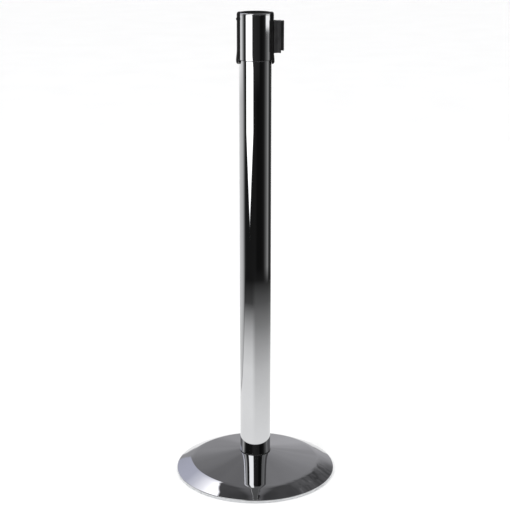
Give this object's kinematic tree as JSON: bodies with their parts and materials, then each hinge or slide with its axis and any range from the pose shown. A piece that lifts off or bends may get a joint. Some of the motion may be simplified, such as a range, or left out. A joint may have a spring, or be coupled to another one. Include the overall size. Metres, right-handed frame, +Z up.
{
  "type": "retractable belt stanchion",
  "caption": "Free-standing queue post: weighted round foot, straight chrome tube, and a head whose sprung drum winds a webbing belt with a tabbed end, opposite a slot for a neighbour's tab.",
  "frame": {"origin": "centre of the round foot, on the floor", "axes": "+Z up the post, +X the side that the belt leaves from, -X the side with the receiving slot"},
  "size_m": [0.346, 0.346, 1],
  "materials": {
    "chrome": "mirror-polished chrome plate",
    "black_plastic": "satin moulded, fine grain",
    "floor_vinyl": "pale grey soft vinyl",
    "black_rubber": "matt",
    "casting": "as cast, dark primer",
    "zinc_steel": "bright zinc plate",
    "spring_steel": "blued, lightly oiled",
    "bush_brass": "machined",
    "white_acetal": "natural moulded acetal",
    "black_webbing": "woven polyester webbing"
  },
  "bodies": {
    "post": {"floor_ring": "floor_vinyl", "base_weight": "casting", "base_cover": "chrome", "base_washer": "zinc_steel", "base_bolt": "zinc_steel", "foot_gasket": "black_rubber", "foot_plug": "zinc_steel", "post_tube": "chrome", "head_core": "black_plastic", "front_shell": "chrome", "rear_shell": "chrome", "top_cap": "chrome", "receiver_rail": "black_plastic", "exit_rail": "black_plastic", "rail_screw_exit": "zinc_steel", "rail_screw_receiver": "zinc_steel", "latch_spring": "spring_steel", "lower_plate": "white_acetal", "upper_plate": "white_acetal", "cassette_pillar_front": "zinc_steel", "cassette_pillar_rear": "zinc_steel", "cassette_screw_front": "zinc_steel", "cassette_screw_rear": "zinc_steel", "spindle": "zinc_steel", "spindle_clip": "spring_steel", "guide_pin_front": "zinc_steel", "guide_pin_rear": "zinc_steel", "power_spring": "spring_steel", "belt_web": "black_webbing"},
    "drum": {"belt_drum": "white_acetal", "lower_bush": "bush_brass", "upper_bush": "bush_brass", "belt_roll": "black_webbing"},
    "front_roller": {"guide_roller_front": "white_acetal"},
    "rear_roller": {"guide_roller_rear": "white_acetal"},
    "belt_end": {"belt_end": "black_plastic", "clamp_pin": "zinc_steel"},
    "latch": {"latch_button": "black_plastic"}
  },
  "joints": [
    {"name": "belt_pull", "type": "slide", "parent": "post", "child": "belt_end", "axis": [1, 0, 0], "range_m": [0, 2], "stiffness_N_per_m": 3, "springref_m": -1, "deforming": ["belt_web"]},
    {"name": "drum_spin", "type": "hinge", "parent": "post", "child": "drum", "pos_m": [0, 0, 0.9515], "axis": [0, 0, -1], "range_deg": [0, 7960], "deforming": ["power_spring"]},
    {"name": "rear_roller_spin", "type": "hinge", "parent": "post", "child": "rear_roller", "pos_m": [0.0244, 0.00255, 0.95], "axis": [0, 0, 1], "range_deg": [0, 52100]},
    {"name": "front_roller_spin", "type": "hinge", "parent": "post", "child": "front_roller", "pos_m": [0.0244, -0.00255, 0.95], "axis": [0, 0, -1], "range_deg": [0, 52100]},
    {"name": "latch_press", "type": "slide", "parent": "post", "child": "latch", "axis": [1, 0, 0], "range_m": [0, 0.0013], "stiffness_N_per_m": 400, "springref_m": -0.001, "deforming": ["latch_spring"]}
  ],
  "couplings": [
    {"joint": "drum_spin", "follows": "belt_pull", "rad_per_m": 69.4},
    {"joint": "rear_roller_spin", "follows": "belt_pull", "rad_per_m": 454.55},
    {"joint": "front_roller_spin", "follows": "belt_pull", "rad_per_m": 454.55}
  ]
}
